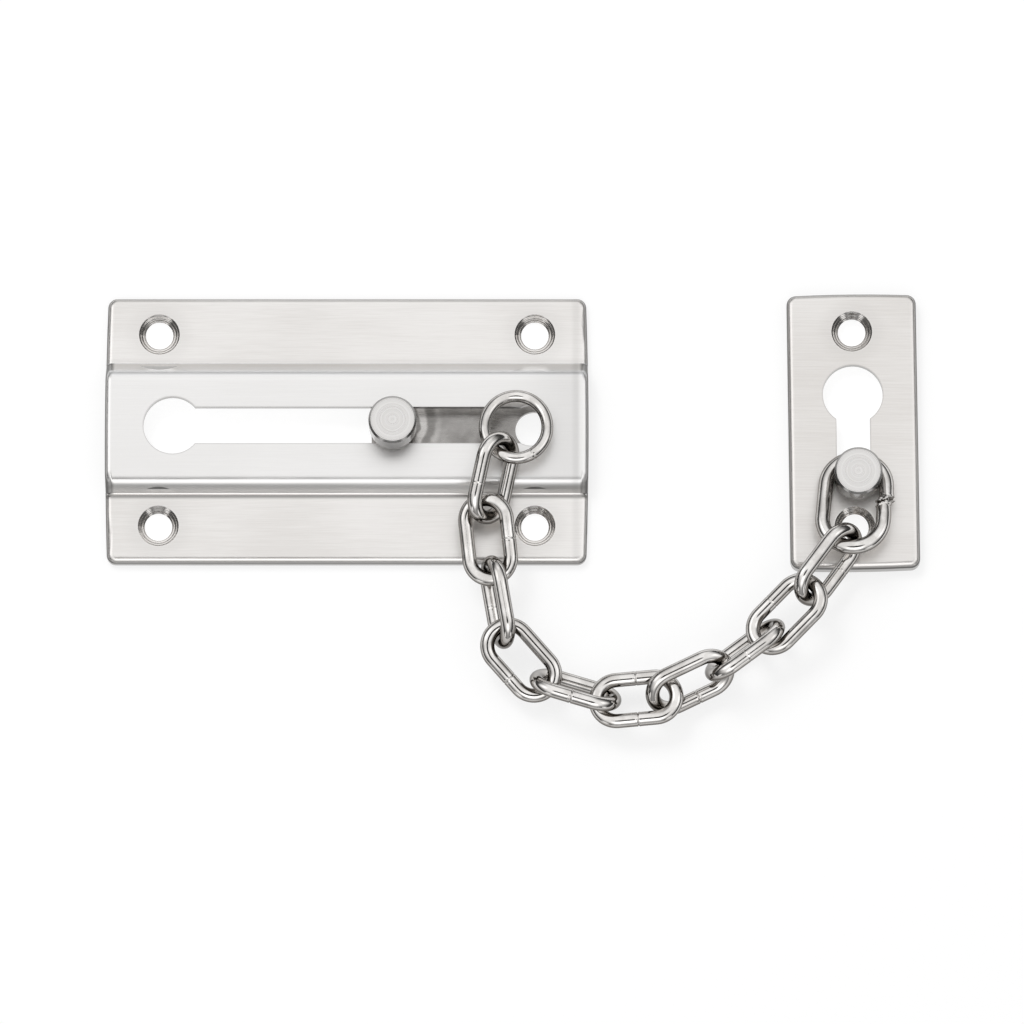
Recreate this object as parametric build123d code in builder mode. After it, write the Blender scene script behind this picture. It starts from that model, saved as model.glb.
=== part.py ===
from build123d import *
import os

os.makedirs("parts", exist_ok=True)

# millimetres, +X along the door plate, +Y across it, +Z out of the plates
# the origin is the centre of the door plate's screw pattern, on its back

sheet = 1.3
edge_r = 1.1                    # rolled outer edge of both stamped plates
corner_r = 1.6
screw_r = 2.3
sink_r = 3.4

door_len, door_wid = 79.8, 45.2
flange_z = 2.0
channel_z = 5.0
channel_y = 0.25                # the channel sits a little above the middle of the screws
channel_top = 17.7
channel_foot = 22.3
bend_r = 2.4                    # along the channel's top
foot_r = 0.8
end_bulge = 0.4                 # the ends are bowed out a little at the channel
door_screw_x, door_screw_y = 62.7, 32.6
mark_r = 6.4                    # edge left in the channel wall by the countersinking of three holes
mark_z = 2.9

slot_w = 6.15
slot_left, slot_right = -29.0, 30.7
slot_key_r = 4.85
slot_seat_r = 3.5

strip_t = 1.0
strip_w = 9.0
strip_hole_x, strip_hole_y = 31.2, 0.22
strip_hole_r = 3.1
strip_tail = 3.6                # strip left of the knob

knob_x, knob_y = 7.7, -0.28
neck_r = 2.25
knob_r = 4.0
knob_z0, knob_z1 = 7.2, 12.2
knob_bevel = 0.35
rivet_r = 1.6
rivet_fit = 0.04

keeper_x, keeper_y = 84.42, -0.3
keeper_turn = 0.6
keeper_wid, keeper_len = 21.6, 46.9
keeper_bow = 0.25               # its short edges are slightly bowed
keeper_z = 3.0
keeper_mid = 0.3                # its holes and slot sit a little above its middle
keeper_screw_y = 33.2
keeper_key_y = 6.2
keeper_key_r = 5.0
keeper_slot_w = 5.6

button_x, button_y = 85.0, -8.75
button_neck_r = 1.9
button_r = 4.0
button_z0, button_z1 = 6.8, 11.2
button_back_z0, button_back_z1 = 0.2, 1.5
button_rest = 0.1               # neck to the lower end of the keeper's slot

ring_wire = 2.0
ring_x, ring_y = 10.4, 11.3     # across the middle of the wire
ring_at = (28.2, -0.8, 8.3)
ring_lean = -12

wire = 2.4
link_len, link_wid = 11.0, 4.6  # inside the link
end_wire = 2.5
end_len, end_wid = 13.6, 7.6

# where each link's line meets the next, from the ring to the button
bearings = [
    (25.8, -3.5, 10.2),
    (23.1, -15.5, 7.2),
    (24.0, -23.5, 6.5),
    (26.3, -36.5, 5.3),
    (31.8, -42.6, 4.2),
    (44.3, -46.4, 4.5),
    (51.9, -45.8, 5.1),
    (62.2, -40.9, 5.4),
    (70.1, -35.1, 5.9),
    (76.1, -29.1, 7.0),
    (83.9, -18.6, 7.4),
    (85.0, -7.8, 5.0),
]
# how far each link leans, positive with its left side raised
leans = [-50, 11, 74, 7, -60, -4, 47, -66, -15, 55, -4]


def leaning(start, end, lean):
    along = (Vector(end) - Vector(start)).normalized()
    side = Vector(0, 0, 1).cross(along).normalized()
    normal = along.cross(side).rotate(Axis((0, 0, 0), along), lean)
    return Plane(origin=(Vector(start) + Vector(end)) / 2, x_dir=along, z_dir=normal)


def wire_link(plane, inside_len, inside_wid, wire_d):
    turn = (inside_wid + wire_d) / 2
    reach = (inside_len - inside_wid) / 2
    with BuildPart() as link:
        with BuildLine(plane):
            Line((-reach, -turn), (reach, -turn))
            ThreePointArc((reach, -turn), (reach + turn, 0), (reach, turn))
            Line((reach, turn), (-reach, turn))
            ThreePointArc((-reach, turn), (-reach - turn, 0), (-reach, -turn))
        with BuildSketch(Plane(origin=plane.from_local_coords((-reach, -turn, 0)), z_dir=plane.x_dir)):
            Circle(wire_d / 2)
        sweep()
    return link.part


# the door plate is one stamped sheet with a raised channel, closed at both ends
rise = channel_z - flange_z
run = (channel_foot - channel_top) / 2
wall_across = sheet * (run**2 + rise**2) ** 0.5 / rise
under_foot = channel_foot / 2 + run * sheet / rise - wall_across
under_top = channel_top / 2 + run * sheet / rise - wall_across

with BuildPart() as door_plate:
    with BuildSketch(Plane.YZ.offset(-door_len / 2 - end_bulge)) as section:
        Rectangle(door_wid, flange_z, align=(Align.CENTER, Align.MIN))
        with BuildLine():
            Polyline(
                (channel_y - channel_foot / 2, flange_z),
                (channel_y - channel_top / 2, channel_z),
                (channel_y + channel_top / 2, channel_z),
                (channel_y + channel_foot / 2, flange_z),
                close=True,
            )
        make_face()
        bends = section.vertices().filter_by(lambda v: abs(v.X) < channel_foot / 2 + 1)
        fillet(bends.filter_by(lambda v: v.Y > flange_z + rise / 2), bend_r)
        fillet(bends.filter_by(lambda v: v.Y < flange_z + rise / 2), foot_r)
    extrude(amount=door_len + 2 * end_bulge)
    with BuildSketch() as outline:
        with BuildLine():
            x, y = door_len / 2, door_wid / 2
            Line((-x, -y), (x, -y))
            ThreePointArc((x, -y), (x + end_bulge, channel_y), (x, y))
            Line((x, y), (-x, y))
            ThreePointArc((-x, y), (-x - end_bulge, channel_y), (-x, -y))
        make_face()
        fillet(outline.vertices(), corner_r)
    extrude(amount=channel_z, mode=Mode.INTERSECT)
    rim = door_plate.edges().filter_by(lambda e: e.bounding_box().min.Z > flange_z - 0.01)
    outside = Vector(door_len / 2 - corner_r / 2, door_wid / 2 - corner_r / 2)
    rim = rim.filter_by(lambda e: abs((e @ 0.5).X) > outside.X or abs((e @ 0.5).Y) > outside.Y)
    fillet(rim, edge_r)
    with BuildSketch(Plane.YZ.offset(sheet - door_len / 2)):
        Rectangle(door_wid - 2 * sheet, 2 * (flange_z - sheet))
        with BuildLine():
            Polyline(
                (channel_y - under_foot, flange_z - sheet),
                (channel_y - under_top, channel_z - sheet),
                (channel_y + under_top, channel_z - sheet),
                (channel_y + under_foot, flange_z - sheet),
                close=True,
            )
        make_face()
    extrude(amount=door_len - 2 * sheet, mode=Mode.SUBTRACT)
    with BuildSketch(Plane.XY.offset(channel_z)):
        with Locations(((slot_left + slot_right) / 2, channel_y)):
            SlotCenterToCenter(slot_right - slot_left, slot_w)
        with Locations((slot_left, channel_y)):
            Circle(slot_key_r)
        with Locations((slot_right, channel_y)):
            Circle(slot_seat_r)
    extrude(amount=-1.5 * sheet, mode=Mode.SUBTRACT)
    with BuildSketch(Plane.XY.offset(mark_z)):
        x, y = door_screw_x / 2, door_screw_y / 2
        with Locations((-x, y), (-x, -y), (x, -y)):
            Circle(mark_r)
    extrude(amount=channel_z - mark_z, mode=Mode.SUBTRACT)
    with Locations((0, 0, flange_z)):
        with GridLocations(door_screw_x, door_screw_y, 2, 2):
            CounterSinkHole(screw_r, sink_r, depth=flange_z, counter_sink_angle=90)
door_plate.part.label = "door_plate"
export_step(door_plate.part, "parts/door_plate.step")

# the strip slides under the channel, a little out of line with it
strip_plane = Plane(origin=(knob_x, knob_y, 0), x_dir=(strip_hole_x - knob_x, strip_hole_y - knob_y, 0))
strip_span = ((strip_hole_x - knob_x) ** 2 + (strip_hole_y - knob_y) ** 2) ** 0.5

with BuildPart() as slider_strip:
    with BuildSketch(strip_plane) as strip:
        with Locations(((strip_span - strip_tail) / 2, 0)):
            Rectangle(strip_span + strip_tail, strip_w)
        fillet(strip.vertices().filter_by(lambda v: v.X < 0), 1)
        with Locations((strip_span, 0)):
            Circle(strip_w / 2)
            Circle(strip_hole_r, mode=Mode.SUBTRACT)
        Circle(rivet_r, mode=Mode.SUBTRACT)
    extrude(amount=strip_t)
slider_strip.part.label = "slider_strip"
export_step(slider_strip.part, "parts/slider_strip.step")

with BuildPart() as slider_knob:
    with BuildSketch(strip_plane):
        Circle(rivet_r - rivet_fit)
    extrude(amount=strip_t)
    with BuildSketch(strip_plane.offset(strip_t)):
        Circle(neck_r)
    extrude(amount=knob_z0 - strip_t)
    with BuildSketch(strip_plane.offset(knob_z0)):
        Circle(knob_r)
    extrude(amount=knob_z1 - knob_z0)
    chamfer(slider_knob.faces().sort_by(Axis.Z)[-1].edges(), knob_bevel)
slider_knob.part.label = "slider_knob"
export_step(slider_knob.part, "parts/slider_knob.step")

# the chain, from the loose ring to the large link round the keeper's button
ring_plane = Plane(origin=ring_at, x_dir=(1, 0, 0), z_dir=Vector(0, 0, 1).rotate(Axis.X, ring_lean))
with BuildPart() as chain_ring:
    with BuildLine(ring_plane):
        EllipticalCenterArc((0, 0), ring_x / 2, ring_y / 2, arc_size=360)
    with BuildSketch(Plane(origin=ring_plane.from_local_coords((ring_x / 2, 0, 0)), z_dir=ring_plane.y_dir)):
        Circle(ring_wire / 2)
    sweep()
chain_ring.part.label = "chain_ring"
export_step(chain_ring.part, "parts/chain_ring.step")

for i, lean in enumerate(leans):
    plane = leaning(bearings[i], bearings[i + 1], lean)
    last = i == len(leans) - 1
    link = wire_link(plane, end_len, end_wid, end_wire) if last else wire_link(plane, link_len, link_wid, wire)
    link.label = "end_link" if last else f"chain_link_{i + 2:02d}"
    export_step(link, f"parts/{link.label}.step")

# the keeper plate was laid down slightly turned
keeper_plane = Plane(origin=(keeper_x, keeper_y, 0)).rotated((0, 0, keeper_turn))
button_local = keeper_plane.to_local_coords(Vector(button_x, button_y, 0))
button_play = keeper_slot_w / 2 - button_neck_r - button_rest
keeper_slot_y = button_local.Y + (button_play**2 - button_local.X**2) ** 0.5

with BuildPart() as keeper_plate:
    with BuildSketch(keeper_plane) as blank:
        with BuildLine():
            x, y = keeper_wid / 2, keeper_len / 2
            Line((x, keeper_bow - y), (x, y - keeper_bow))
            ThreePointArc((x, y - keeper_bow), (0, y), (-x, y - keeper_bow))
            Line((-x, y - keeper_bow), (-x, keeper_bow - y))
            ThreePointArc((-x, keeper_bow - y), (0, -y), (x, keeper_bow - y))
        make_face()
        fillet(blank.vertices(), corner_r)
    extrude(amount=keeper_z)
    fillet(keeper_plate.faces().sort_by(Axis.Z)[-1].edges(), edge_r)
    with BuildSketch(keeper_plane):
        Rectangle(keeper_wid - 2 * sheet, keeper_len - 2 * sheet)
    extrude(amount=keeper_z - sheet, mode=Mode.SUBTRACT)
    with BuildSketch(keeper_plane.offset(keeper_z)):
        with Locations((0, (keeper_key_y + keeper_slot_y) / 2)):
            SlotCenterToCenter(keeper_key_y - keeper_slot_y, keeper_slot_w, rotation=90)
        with Locations((0, keeper_key_y)):
            Circle(keeper_key_r)
    extrude(amount=-1.5 * sheet, mode=Mode.SUBTRACT)
    with Locations(keeper_plane.offset(keeper_z)):
        with Locations((0, keeper_mid + keeper_screw_y / 2), (0, keeper_mid - keeper_screw_y / 2)):
            CounterSinkHole(screw_r, sink_r, depth=keeper_z, counter_sink_angle=90)
keeper_plate.part.label = "keeper_plate"
export_step(keeper_plate.part, "parts/keeper_plate.step")

with BuildPart() as keeper_button:
    with BuildSketch(Plane((button_x, button_y, button_back_z0))):
        Circle(button_r)
    extrude(amount=button_back_z1 - button_back_z0)
    with BuildSketch(Plane((button_x, button_y, button_back_z1))):
        Circle(button_neck_r)
    extrude(amount=button_z0 - button_back_z1)
    with BuildSketch(Plane((button_x, button_y, button_z0))):
        Circle(button_r)
    extrude(amount=button_z1 - button_z0)
    chamfer(keeper_button.faces().sort_by(Axis.Z)[-1].edges(), knob_bevel)
keeper_button.part.label = "keeper_button"
export_step(keeper_button.part, "parts/keeper_button.step")
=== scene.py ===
import math
import bpy
from mathutils import Matrix, Vector, noise


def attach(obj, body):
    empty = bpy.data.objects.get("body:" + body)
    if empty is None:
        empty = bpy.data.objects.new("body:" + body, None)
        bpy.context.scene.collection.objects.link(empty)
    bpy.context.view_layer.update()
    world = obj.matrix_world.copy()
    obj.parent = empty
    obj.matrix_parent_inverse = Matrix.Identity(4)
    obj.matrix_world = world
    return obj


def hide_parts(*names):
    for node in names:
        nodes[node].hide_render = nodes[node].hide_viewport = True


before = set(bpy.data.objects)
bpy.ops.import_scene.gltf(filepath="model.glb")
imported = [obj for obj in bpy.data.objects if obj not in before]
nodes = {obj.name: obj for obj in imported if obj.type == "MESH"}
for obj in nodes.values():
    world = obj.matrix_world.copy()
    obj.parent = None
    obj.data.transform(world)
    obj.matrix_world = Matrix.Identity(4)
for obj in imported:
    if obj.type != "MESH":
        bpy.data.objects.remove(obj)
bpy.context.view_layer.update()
mm = 0.001


class Signal:
    # a shader node's output: sums, products and ramps of it add the nodes for them
    def __init__(self, graph, socket):
        self.graph, self.socket = graph, socket

    def math(self, operation, *others, first=None):
        values = [self, *others] if first is None else [first, self]
        return self.graph.use("ShaderNodeMath", {"operation": operation}, dict(enumerate(values)))

    def __add__(self, other):
        return self.math("ADD", other)

    __radd__ = __add__

    def __sub__(self, other):
        return self.math("SUBTRACT", other)

    def __rsub__(self, other):
        return self.math("SUBTRACT", first=other)

    def __mul__(self, other):
        return self.math("MULTIPLY", other)

    __rmul__ = __mul__

    def ramp(self, low, high, toLow=0.0, toHigh=1.0):
        values = {"Value": self, "From Min": low, "From Max": high, "To Min": toLow, "To Max": toHigh}
        return self.graph.use("ShaderNodeMapRange", {"interpolation_type": "SMOOTHSTEP"}, values)

    def fade(self, low, high):
        # from 0 to 1 between two places in millimetres
        return self.ramp(low * mm, high * mm)

    def band(self, start, full, fullEnd, end):
        # 1 between full and fullEnd, in millimetres, and 0 outside start and end
        return self.fade(start, full) * self.fade(end, fullEnd)

    def waves(self, closeness, wobble, bend):
        return (self * closeness + wobble * bend).math("SINE")


class Graph:
    def __init__(self, tree):
        self.tree = tree

    def node(self, kind, settings=None, sockets=None):
        made = self.tree.nodes.new(kind)
        for key, value in (settings or {}).items():
            setattr(made, key, value)
        for key, value in (sockets or {}).items():
            if isinstance(value, Signal):
                self.tree.links.new(value.socket, made.inputs[key])
            else:
                made.inputs[key].default_value = value
        return made

    def use(self, kind, settings=None, sockets=None, output=0):
        return Signal(self, self.node(kind, settings, sockets).outputs[output])

    def place(self):
        return self.use("ShaderNodeTexCoord", output="Object")

    def along(self, axis):
        return self.use("ShaderNodeSeparateXYZ", {}, {0: self.place()}, "XYZ".index(axis))

    def away(self, axis, middle):
        return (self.along(axis) - middle * mm).math("ABSOLUTE")

    def area(self, middle, reach, soft=0.5):
        # 1 inside a rectangle of the plate, in millimetres
        sides = [self.away(axis, m).fade(r + soft, r - soft) for axis, m, r in zip("XY", middle, reach)]
        return sides[0] * sides[1]

    def radius(self, middle):
        centre = (middle[0] * mm, middle[1] * mm, 0)
        away = self.use("ShaderNodeVectorMath", {"operation": "SUBTRACT"}, {0: self.place(), 1: centre})
        flat = self.scaled(away, (1, 1, 0))
        return self.use("ShaderNodeVectorMath", {"operation": "LENGTH"}, {0: flat}, "Value")

    def facing(self):
        return self.use("ShaderNodeNewGeometry", output="Normal")

    def lying(self):
        # 1 on a face that looks up, 0 on an upright one
        return self.use("ShaderNodeSeparateXYZ", {}, {0: self.facing()}, 2).math("ABSOLUTE")

    def scaled(self, vector, factors):
        return self.use("ShaderNodeVectorMath", {"operation": "MULTIPLY"}, {0: vector, 1: factors})

    def noise(self, vector, scale=1.0, detail=2.0, rough=0.5):
        values = {"Vector": vector, "Scale": scale, "Detail": detail, "Roughness": rough}
        return self.use("ShaderNodeTexNoise", {}, values)

    def bands(self, distance, scale):
        # noise that changes only with this distance
        vector = self.use("ShaderNodeCombineXYZ", {}, {0: distance * scale})
        return self.noise(vector, detail=3.0, rough=0.7)

    def mix(self, factor, a, b):
        return self.use("ShaderNodeMix", {"data_type": "RGBA"}, {0: factor, 6: a, 7: b}, 2)

    def bump(self, height, distance, strength, normal=None):
        values = {"Height": height, "Distance": distance * mm, "Strength": strength}
        if normal is not None:
            values["Normal"] = normal
        return self.use("ShaderNodeBump", {}, values)


def material(name, build):
    made = bpy.data.materials.new(name)
    made.use_nodes = True
    graph = Graph(made.node_tree)
    shader = made.node_tree.nodes["Principled BSDF"]
    for key, value in build(graph).items():
        if isinstance(value, Signal):
            made.node_tree.links.new(value.socket, shader.inputs[key])
        else:
            shader.inputs[key].default_value = value
    return made


def grey(level, warm=0.0):
    return (level * (1 + warm), level, level * (1 - warm), 1)


# both plates: lines to the metre along and across the brushing, and levels of grey
brush = {
    "fine": (170, 6500, 6500),
    "broad": (45, 1500, 1500),
    "clouds": (30, 60, 60),
    "dark": 0.78,
    "light": 0.91,
    "rolled": 0.1,                # painted shade on the rolled rims and cut edges
    "plain": 0.45,                # painted shade, lighter, on the rims' upright sides
    "cone": 0.78,                 # countersinks
    "coneRadius": 3.5,            # mm
    "coneRings": 14000.0,
    "coneRingHeight": 1.4,
    "cutLine": (0.24, 0.06),      # mm from a slot's edge: where its fine line of painted shade ends and is full
    "roughness": (0.28, 0.36),
    "coneRoughness": 0.14,
}
doorPlate = {
    "shade": 1.0,
    "warm": 0.022,
    "turn": 0.0,                  # degrees, of the brushing
    "holes": [(x, y) for x in (-31.35, 31.35) for y in (-16.3, 16.3)],
    "slotArea": ((0, 0), (37.5, 7.5)),
    # middle and half width and height, or radius, of what is cut out
    "openings": [(0.85, 0.25, 29.85, 3.075), (-29, 0.25, 4.85, 0), (30.7, 0.25, 3.5, 0)],
    "raised": True,
}
keeperPlate = {
    "shade": 0.95,
    "warm": 0.026,
    "turn": 0.6,
    "holes": [(84.24, 16.6), (84.59, -16.6)],
    "slotArea": ((84.4, 0), (6, 19)),
    "openings": [(84.43, -1.3, 2.8, 7.2), (84.355, 5.9, 5.0, 0)],
    "raised": False,
}


def countersinks(g, here, streak, holes):
    height, inCone, holeShade = streak, 0.0, 0.0
    radius = brush["coneRadius"]
    for hole in holes:
        away = g.radius(hole)
        cone = away.fade(radius, radius - 0.14)
        rings = away.waves(brush["coneRings"], g.noise(here, 900.0), 2.0) * brush["coneRingHeight"]
        height = height * (1 - cone) + rings * cone
        # painted shade in a ring round each countersink
        holeShade = away.fade(radius + 3, radius) * (1 - cone) + holeShade
        inCone = cone + inCone
    return height, inCone, holeShade


def cutEdge(g, openings):
    # a fine line of painted shade where the sheet is cut
    edge = None
    for x, y, wide, tall in openings:
        if tall:
            reach = (g.away("X", x) - wide * mm).math("MAXIMUM", g.away("Y", y) - tall * mm)
        else:
            reach = g.radius((x, y)) - wide * mm
        edge = reach if edge is None else edge.math("MINIMUM", reach)
    return edge.fade(*brush["cutLine"])


# the door plate's channel, in millimetres from its middle line
channel = {
    "middle": 0.25,
    "foot": 11.15,
    "footRound": 40.0,            # height of the small round at the foot
    "upperBend": (8.2, 8.7, 9.5, 9.9),
    "lowerBend": (8.35, 10.45),
    "wallBand": (9.7, 10.2, 10.25, 10.75),
    "wallSlope": 52.5,            # degrees
    "markHeight": (2.4, 2.6, 3.3, 3.6),     # above the door
    "end": 39.2,
    "upperRim": 0.33,             # levels of painted shade on the plate's long rims, the lower one darker
    "lowerRim": 0.24,
}


def raisedChannel(g, face, height, normal):
    foot = channel["foot"]
    across = g.away("Y", channel["middle"])
    below = g.along("Y").fade(1, -1)
    # painted light: the channel's top and walls a little lighter than the flanges
    face = g.mix(across.fade(foot + 0.2, foot - 1.4) * 0.55, face, grey(0.95))
    # a small round at the foot, with a painted shade line beside it, mostly on the lower side
    ridge = across.band(foot - 0.2, foot + 0.12, foot + 0.12, foot + 0.45)
    height = height + ridge * below * channel["footRound"]
    line = across.band(foot + 0.08, foot + 0.2, foot + 0.25, foot + 1.0)
    face = g.mix(line * (below * 0.8 + 0.1), face, grey(0.2, 0.03))
    # the upper bend and the upper foot get painted light, which makes them look soft, and the lower bend has
    # a bright edge from its tilted normal, with a band of painted shade on the wall under it
    soft = across.band(*channel["upperBend"]) + across.band(foot - 0.35, foot - 0.1, foot, foot + 0.05)
    face = g.mix(soft * (1 - below), face, grey(1.0))
    face = g.mix(across.band(*channel["wallBand"]) * below * 0.5, face, grey(0.36, 0.02))
    tilt = across.fade(*channel["lowerBend"]) * math.radians(channel["wallSlope"])
    tilted = g.use("ShaderNodeCombineXYZ", {}, {1: tilt.math("SINE") * -1.0, 2: tilt.math("COSINE")})
    bend = across.band(7.2, 7.5, 10.5, 10.8) * below
    bend = bend * g.lying().ramp(0.3, 0.5) * g.away("X", 0).fade(channel["end"] + 0.1, channel["end"] - 0.2)
    normal = g.use("ShaderNodeMix", {"data_type": "VECTOR"}, {0: bend, 4: normal, 5: tilted}, 1)
    # the countersinks' marks in the walls, with painted shade on their flat floors
    low = g.along("Z").band(*channel["markHeight"])
    face = g.mix(low * g.lying().ramp(0.8, 0.95), face, grey(0.5, 0.02))
    # painted shade towards the channel's right end
    right = g.along("X")
    endShade = right.fade(26, 38) * across.fade(foot + 0.2, foot - 1) * 0.9 + right.fade(37.2, 38.1) * 0.7
    face = g.mix(endShade * right.fade(39.1, 38.3) * 0.2, face, grey(0.35, 0.02))
    return face, height, normal


def channelRims(g, side, rolled):
    # the walls slope too, so that only the plate's own rims count as turned down and take the rims' painted
    # shade
    ends = g.away("X", 0)
    across = g.away("Y", channel["middle"])
    below = g.along("Y").fade(1, -1)
    rim = (across.fade(13, 14) + ends.fade(channel["end"] - 0.6, channel["end"])).math("MINIMUM", 1.0)
    side = side * rim + g.lying().ramp(0.58, 0.1) * (1 - rim)
    longRimShade = g.mix(below, grey(channel["upperRim"], 0.03), grey(channel["lowerRim"], 0.03))
    return side, g.mix(ends.fade(channel["end"] - 0.8, channel["end"]), longRimShade, rolled)


def brushed(plate):
    def build(g):
        here = g.place()
        if plate["turn"]:
            values = {"Vector": here, "Angle": math.radians(plate["turn"])}
            here = g.use("ShaderNodeVectorRotate", {"rotation_type": "Z_AXIS"}, values)
        fine = g.noise(g.scaled(here, brush["fine"]), detail=2.0, rough=0.6)
        broad = g.noise(g.scaled(here, brush["broad"]), detail=3.0, rough=0.6)
        clouds = g.noise(g.scaled(here, brush["clouds"]))
        streak = fine * 0.65 + broad * 0.35
        height, inCone, holeShade = countersinks(g, here, streak, plate["holes"])
        dark = grey(brush["dark"] * plate["shade"], plate["warm"] * 1.4)
        light = grey(brush["light"] * plate["shade"], plate["warm"])
        face = g.mix((streak * 0.45 + clouds * 0.55).ramp(0.34, 0.64), dark, light)
        # the painted shade round the countersinks
        face = g.mix(holeShade * 0.1, face, grey(0.4, 0.02))
        # side: where a face turns from up, which takes the rims' painted shade
        normal, side, rolled = g.facing(), g.lying().ramp(0.9, 0.4), grey(brush["rolled"], 0.03)
        if plate["raised"]:
            face, height, normal = raisedChannel(g, face, height, normal)
            side, rolled = channelRims(g, side, rolled)
        # the rolled rims and cut edges aren't brushed, and get painted shade by how far each face turns from
        # up, lighter inside the slots
        slot = g.area(*plate["slotArea"])
        rolled = g.mix(slot * 0.6, rolled, grey(0.5, 0.02))
        rolled = g.mix(g.lying().ramp(0.3, 0.06) * (1 - slot), rolled, grey(brush["plain"], 0.02))
        # painted shade along the cut edges
        face = g.mix(cutEdge(g, plate["openings"]) * 0.3, face, grey(0.3, 0.02))
        face = g.mix(side, face, rolled)
        rough = (streak * 0.5 + clouds * 0.5).ramp(0.3, 0.7, *brush["roughness"])
        return {
            "Metallic": 1.0,
            "Base Color": g.mix(inCone, face, grey(brush["cone"], 0.03)),
            "Roughness": rough * (1 - inCone) + inCone * brush["coneRoughness"],
            "Normal": g.bump(height, 0.012, 0.5, normal),
        }
    return build


knob = {
    "middle": (7.7, -0.28),
    "dark": 0.64,
    "light": 0.88,
    # painted shade on the upright side
    "side": 0.3,
    "sideEdge": 0.07,             # painted shade where the side turns into the top
    "rings": 19000.0,
    "bands": 3000.0,
    "grooves": 4000.0,            # round the side
    "roughness": (0.24, 0.36),
    "sideRoughness": 0.14,
}
button = {**knob, "middle": (85.0, -8.75)}


def turned(piece):
    def build(g):
        away = g.radius(piece["middle"])
        rings = away.waves(piece["rings"], g.noise(g.place(), 260.0), 3.0)
        bands = g.bands(away, piece["bands"])
        grooves = g.bands(g.along("Z"), piece["grooves"]) * 1.5
        # the upright side and its edge get painted shade
        side = g.lying().ramp(0.96, 0.5)
        face = g.mix(bands.ramp(0.3, 0.7), grey(piece["dark"], 0.022), grey(piece["light"], 0.016))
        upright = g.mix(g.lying().ramp(0.3, 0.05), grey(piece["sideEdge"], 0.05), grey(piece["side"], 0.03))
        rough = bands.ramp(0.3, 0.7, *piece["roughness"])
        return {
            "Metallic": 1.0,
            "Base Color": g.mix(side, face, upright),
            "Roughness": rough * (1 - side) + side * piece["sideRoughness"],
            "Normal": g.bump((rings * 0.3 + bands) * (1 - side) + grooves * side, 0.008, 0.5),
        }
    return build


sliderStrip = {
    "dark": 0.25,
    "light": 0.58,
    "brushing": (150, 2600, 2600),
    "clouds": 260.0,
    "swirls": 2600.0,
    "rubbedRound": (6.2, 1.4),    # middle of the curved marks beside the knob
    "rubbedReach": (10.5, 6.0),
    "roughness": (0.2, 0.3),
}


def rubbed(g):
    fine = g.noise(g.scaled(g.place(), sliderStrip["brushing"]), detail=3.0)
    cloud = g.noise(g.place(), sliderStrip["clouds"], 3.0)
    away = g.radius(sliderStrip["rubbedRound"])
    swirl = away.waves(sliderStrip["swirls"], cloud, 6.0) * away.fade(*sliderStrip["rubbedReach"])
    tone = cloud * 0.55 + fine * 0.15 + swirl * 0.4 + 0.15
    dark, light = grey(sliderStrip["dark"], 0.04), grey(sliderStrip["light"], 0.03)
    return {
        "Metallic": 1.0,
        "Base Color": g.mix(tone.ramp(0.3, 0.8), dark, light),
        "Roughness": fine.ramp(0.3, 0.7, *sliderStrip["roughness"]),
        "Normal": g.bump(fine * 0.4 + cloud, 0.02, 0.3),
    }


wire = {
    "dark": 0.66,
    "light": 0.84,
    # painted shade down the wire's sides
    "side": 0.09,
    "grain": 2600.0,
    "clouds": 380.0,
    "roughness": (0.06, 0.15),
}


def polished(g):
    # bright on top, with painted shade down the sides
    fine = g.noise(g.place(), wire["grain"], 3.0, 0.6)
    cloud = g.noise(g.place(), wire["clouds"], 3.0)
    top = g.mix(cloud.ramp(0.35, 0.65), grey(wire["dark"], 0.035), grey(wire["light"], 0.025))
    return {
        "Metallic": 1.0,
        "Base Color": g.mix(g.lying().ramp(0.83, 0.27), top, grey(wire["side"], 0.13)),
        "Roughness": fine.ramp(0.35, 0.75, *wire["roughness"]),
        "Normal": g.bump(fine * 0.3 + cloud, 0.03, 0.3),
    }


metals = {
    "door_plate": material("brushedPlate", brushed(doorPlate)),
    "keeper_plate": material("brushedKeeper", brushed(keeperPlate)),
    "slider_knob": material("turnedKnob", turned(knob)),
    "keeper_button": material("turnedButton", turned(button)),
    "slider_strip": material("smoothStrip", rubbed),
}
wireMetal = material("polishedWire", polished)
for name, metal in metals.items():
    for part in nodes[name].material_slots:
        part.material = metal
print("materials done")

# in millimetres and degrees, each link in the place that the frame has for it
links = {
    "wire": 2.4,
    "length": 11.0,               # inside
    "width": 4.6,
    # where each link's line meets the next, from the ring to the button
    "points": [
        (25.8, -3.5, 10.2), (23.1, -15.5, 7.2), (24.0, -23.5, 6.5), (26.3, -36.5, 5.3),
        (31.8, -42.6, 4.2), (44.3, -46.4, 4.5), (51.9, -45.8, 5.1), (62.2, -40.9, 5.4),
        (70.1, -35.1, 5.9), (76.1, -29.1, 7.0), (83.9, -18.6, 7.4), (85.0, -7.8, 5.0),
    ],
    "leans": [-50, 11, 74, 7, -60, -4, 47, -66, -15, 55, -4],
    # butt joints: side of the link (1 left, -1 right), distance from its middle, depth of the nick
    "joints": [
        [(-1, 1.2, 0.04)], [(1, 0.4, 0.08)], [(-1, 0.4, 0.03)], [(-1, 1.0, 0.1)], [(-1, -0.1, 0.12)],
        [(1, 0.2, 0.08), (-1, 0.1, 0.13)], [(-1, 0.3, 0.12)], [(-1, -0.5, 0.04)], [(1, -0.3, 0.04)],
        [(-1, 0.8, 0.04)],
    ],
}
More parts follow.
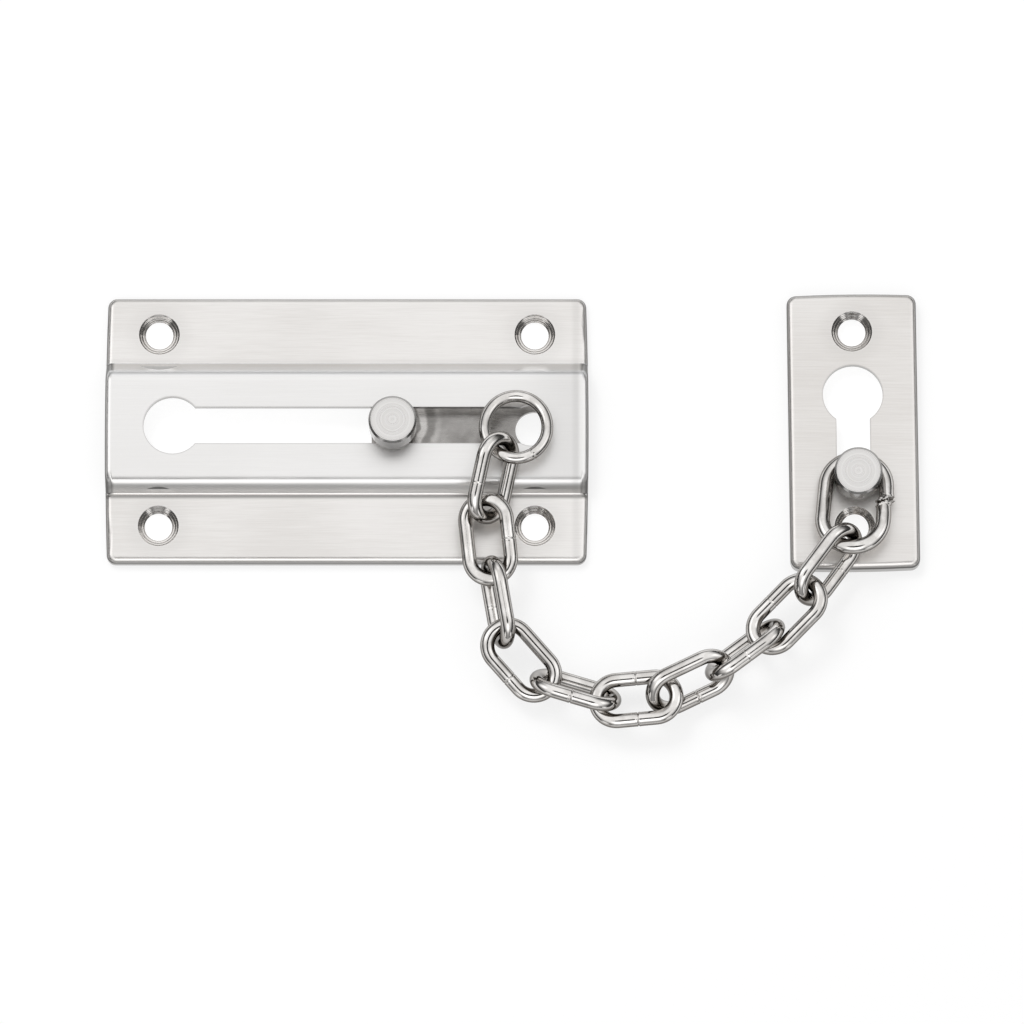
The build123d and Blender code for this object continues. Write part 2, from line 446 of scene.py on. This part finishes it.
endLink = {
    "wire": 2.5,
    "length": 13.6,
    "width": 7.6,
    "cutSide": -1,
    "cutAt": 0.6,                 # the ragged cut, from the link's middle
    "cutDepth": 0.95,
    "cutWidth": 0.2,
    "cutSlant": 0.55,
    "cutUneven": 0.35,
    "lips": [(-0.42, 0.1, 0.2), (0.45, 0.05, 0.22)],    # beside the cut: place, height and width
    "rough": 0.8,
    "slip": 0.28,                 # how far the two ends stand out of line
}
ring = {
    "wire": 2.0,
    "reach": (5.2, 5.65),         # half its width and height, to the middle of the wire
    "at": (28.2, -0.8, 8.3),
    "lean": -12,
    "joint": 300,                 # degrees round it
    "jointRadius": 5.4,
    "jointDepth": 0.14,
}
buttJoint = {
    "width": 0.09,
    "lip": 0.16,                  # share of the nick's depth
    "lipAt": 0.26,
    "lipWidth": 0.14,
}


def bell(distance, width):
    return math.exp(-(distance / width) ** 2)


def nick(offset, depth):
    # a butt joint, with a slight lip on both sides
    lip = buttJoint["lip"] * bell(abs(offset) - buttJoint["lipAt"], buttJoint["lipWidth"])
    return depth * (lip - bell(offset, buttJoint["width"]))


def torn(x, y, turn, rough):
    coarse = noise.noise(Vector((x * 2.2, y, turn * 1.3)))
    small = noise.noise(Vector((x * 6, turn * 2.5, y)))
    return rough * (0.6 * coarse + 0.5 * small)


def raggedCut(x, y, turn):
    # the saw's cut runs slanting round the wire, with a torn lip
    if y * endLink["cutSide"] < 0:
        return 0.0
    uneven = noise.noise(Vector((math.cos(turn) * 2.6, math.sin(turn) * 2.6, 3.0)))
    off = x - endLink["cutAt"] - endLink["cutSlant"] * math.cos(turn + 0.4) - endLink["cutUneven"] * uneven
    lips = sum(height * bell(off - place, width) for place, height, width in endLink["lips"])
    return lips - endLink["cutDepth"] * bell(off, endLink["cutWidth"])


def tube(name, plane, path, wireWidth, body, node, carve=None):
    # path: points in the link's plane, each with its outward direction, swell and roughness
    sides = 32
    verts, faces = [], []
    for x, y, outX, outY, swell, rough in path:
        for k in range(sides):
            turn = 2 * math.pi * k / sides
            size = wireWidth / 2 + swell
            if carve:
                size += carve(x, y, turn)
            if rough:
                size += torn(x, y, turn, rough)
            out = size * math.cos(turn)
            verts.append(plane @ (Vector((x + outX * out, y + outY * out, size * math.sin(turn))) * mm))
    for i in range(len(path)):
        a, b = i * sides, (i + 1) % len(path) * sides
        for k in range(sides):
            after = (k + 1) % sides
            faces.append((a + k, b + k, b + after, a + after))
    mesh = bpy.data.meshes.new(name)
    mesh.from_pydata(verts, [], faces)
    mesh.polygons.foreach_set("use_smooth", [True] * len(faces))
    mesh.update()
    made = bpy.data.objects.new(name, mesh)
    bpy.context.scene.collection.objects.link(made)
    mesh.materials.append(wireMetal)
    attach(made, body)
    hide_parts(node)


def leaning(start, end, lean):
    start, end = Vector(start), Vector(end)
    along = (end - start).normalized()
    side = Vector((0, 0, 1)).cross(along).normalized()
    turn = Matrix.Rotation(math.radians(lean), 3, along)
    side, up = turn @ side, turn @ along.cross(side)
    plane = Matrix((along, side, up)).transposed().to_4x4()
    plane.translation = (start + end) / 2 * mm
    return plane


def linkPath(link, joints=(), ragged=False):
    turn, straight = (link["width"] + link["wire"]) / 2, (link["length"] - link["width"]) / 2
    arcSteps = 28
    path = []
    for side in (-1, 1):
        cut = ragged and side == link["cutSide"]
        nicks = [(middle, depth) for place, middle, depth in joints if place == side]
        # more points where the wire is nicked or cut
        spots = {round(-straight + i * straight / 12, 4) for i in range(25)}
        for middle, depth in nicks:
            spots |= {round(middle + i * 0.06, 4) for i in range(-10, 11)}
        if cut:
            spots |= {round(link["cutAt"] + i * 0.07, 4) for i in range(-20, 21)}
        for x in sorted(spots, reverse=side > 0):
            if abs(x) > straight:
                continue
            swell = sum(nick(x - middle, depth) for middle, depth in nicks)
            rough = slip = 0.0
            if cut:
                off = x - link["cutAt"]
                rough = link["rough"] * bell(off, 0.6)
                slip = link["slip"] * math.tanh(off / 0.12) * bell(off, 1.6)
            path.append((x, side * (turn + slip), 0, side, swell, rough))
        for i in range(1, arcSteps):
            angle = side * math.pi / 2 + math.pi * i / arcSteps
            outX, outY = math.cos(angle), math.sin(angle)
            path.append((turn * outX - side * straight, turn * outY, outX, outY, 0.0, 0.0))
    return path


def ringPath():
    wide, tall = ring["reach"]
    steps = 200
    path = []
    for i in range(steps):
        angle = 2 * math.pi * i / steps
        cos, sin = math.cos(angle), math.sin(angle)
        length = math.hypot(tall * cos, wide * sin)
        swell = nick((angle - math.radians(ring["joint"])) * ring["jointRadius"], ring["jointDepth"])
        path.append((wide * cos, tall * sin, tall * cos / length, wide * sin / length, swell, 0.0))
    return path


spans = [leaning(*span) for span in zip(links["points"], links["points"][1:], links["leans"])]
for i, joints in enumerate(links["joints"]):
    node = f"chain_link_{i + 2:02d}"
    tube(f"wireLink{i + 2:02d}", spans[i], linkPath(links, joints), links["wire"], node, node)
endPath = linkPath(endLink, ragged=True)
tube("wireEndLink", spans[-1], endPath, endLink["wire"], "end_link", "end_link", raggedCut)
ringPlane = Matrix.Translation(Vector(ring["at"]) * mm) @ Matrix.Rotation(math.radians(ring["lean"]), 4, "X")
tube("wireRing", ringPlane, ringPath(), ring["wire"], "door_plate", "chain_ring")
print("chain done")

# a long lens, leaning back a little towards the chain
lens = {
    "tilt": 11.5,                 # degrees
    "target": (27.53, -13.52, 0),
    "distance": 2.0,              # metres
    "picture": 1024 / 6.0,        # width of what it sees, in mm
    "sensor": 36,
}
tilt = math.radians(lens["tilt"])
towardsLens = (0, -math.sin(tilt), math.cos(tilt))
camera = bpy.data.objects.new("camera", bpy.data.cameras.new("camera"))
bpy.context.scene.collection.objects.link(camera)
camera.location = Vector(lens["target"]) * mm + Vector(towardsLens) * lens["distance"]
camera.rotation_euler = (tilt, 0, 0)
camera.data.sensor_width = lens["sensor"]
camera.data.lens = lens["sensor"] * lens["distance"] / (lens["picture"] * mm)
bpy.context.scene.camera = camera
bpy.context.scene.view_settings.view_transform = "Standard"

ground = {
    "size": 3.0,                  # metres to each side
    "height": -0.0001,
    "base": 0.27,                 # takes the shadows
    "glow": 0.725,                # brings the rest up to white
    "glowUnder": 1.13,            # painted light: a little more glow under the plates, which takes out their shade seen through the holes
    "under": [((0, 0), (38, 21)), ((84.42, -0.3), (9.3, 21.9))],
}


def paleFloor(g):
    rays = ("Is Camera Ray", "Is Glossy Ray", "Is Transmission Ray")
    seen = sum(g.use("ShaderNodeLightPath", output=ray) for ray in rays).math("MINIMUM", 1.0)
    above = 1 - g.use("ShaderNodeNewGeometry", output="Backfacing")
    # painted light on the floor under the plates
    paintedLightUnder = sum(g.area(middle, reach) for middle, reach in ground["under"]) * above
    return {
        "Base Color": grey(ground["base"]),
        "Roughness": 1.0,
        "Specular IOR Level": 0.0,
        "Emission Color": g.mix(seen, grey(0.0), g.mix(paintedLightUnder, grey(1.0), grey(ground["glowUnder"]))),
        "Emission Strength": ground["glow"],
    }


reach = ground["size"]
corners = [(-reach, -reach, 0), (reach, -reach, 0), (reach, reach, 0), (-reach, reach, 0)]
floorMesh = bpy.data.meshes.new("floor")
floorMesh.from_pydata(corners, [], [(0, 1, 2, 3)])
floor = bpy.data.objects.new("floor", floorMesh)
floor.location = (0, 0, ground["height"])
bpy.context.scene.collection.objects.link(floor)
floor.data.materials.append(material("floor", paleFloor))

# makes the soft shadows towards the front
shadeLamp = {
    "at": (-0.25, 0.45, 0.8),
    "aim": (0.03, -0.01, 0),
    "size": 0.35,
    "watts": 3.0,
}
shade = bpy.data.objects.new("shadeLight", bpy.data.lights.new("shadeLight", "AREA"))
shade.data.shape = "RECTANGLE"
shade.data.size = shade.data.size_y = shadeLamp["size"]
shade.data.energy = shadeLamp["watts"]
shade.location = shadeLamp["at"]
beam = Vector(shadeLamp["aim"]) - Vector(shadeLamp["at"])
shade.rotation_euler = beam.to_track_quat("-Z", "Y").to_euler()
bpy.context.scene.collection.objects.link(shade)
shade.visible_glossy = False

# a bright ceiling over a dark room, and soft round areas: direction, where each is full and ends
# in degrees from its middle, and strength
studio = {
    "ceiling": (0.2, 0.88, 0.05, 1.0),      # where it is dark and bright, and how much
    "areas": {
        "front": ((0, -0.66, 0.75), 4, 26, 0.72),
        "left": ((-0.72, 0.25, 0.64), 5, 24, 0.65),
        "right": ((0.78, 0.1, 0.6), 5, 22, 0.5),
        "nearWall": ((0, -1, 0.1), 8, 30, 0.35),
        "farWall": ((0, 0.9, 0.42), 6, 28, 0.4),
        "lowLeft": ((-0.56, -0.77, 0.16), 3, 13, 1.1),
        "lowRight": ((0.56, -0.77, 0.16), 3, 13, 1.1),
    },
    "darkBehindLens": (towardsLens, 9, 15, 0.96),
}
world = bpy.data.worlds.new("studio")
bpy.context.scene.world = world
world.use_nodes = True
sky = Graph(world.node_tree)
heading = sky.use("ShaderNodeTexCoord", output="Generated")


def softArea(direction, full, end, strength):
    aim = tuple(Vector(direction).normalized())
    near = sky.use("ShaderNodeVectorMath", {"operation": "DOT_PRODUCT"}, {0: heading, 1: aim}, "Value")
    return near.ramp(math.cos(math.radians(end)), math.cos(math.radians(full)), 0.0, strength)


glow = sky.use("ShaderNodeSeparateXYZ", {}, {0: heading}, 2).ramp(*studio["ceiling"])
for area in studio["areas"].values():
    glow = glow + softArea(*area)
glow = glow * (1 - softArea(*studio["darkBehindLens"]))
world.node_tree.links.new(glow.socket, world.node_tree.nodes["Background"].inputs["Color"])
print("stage done")
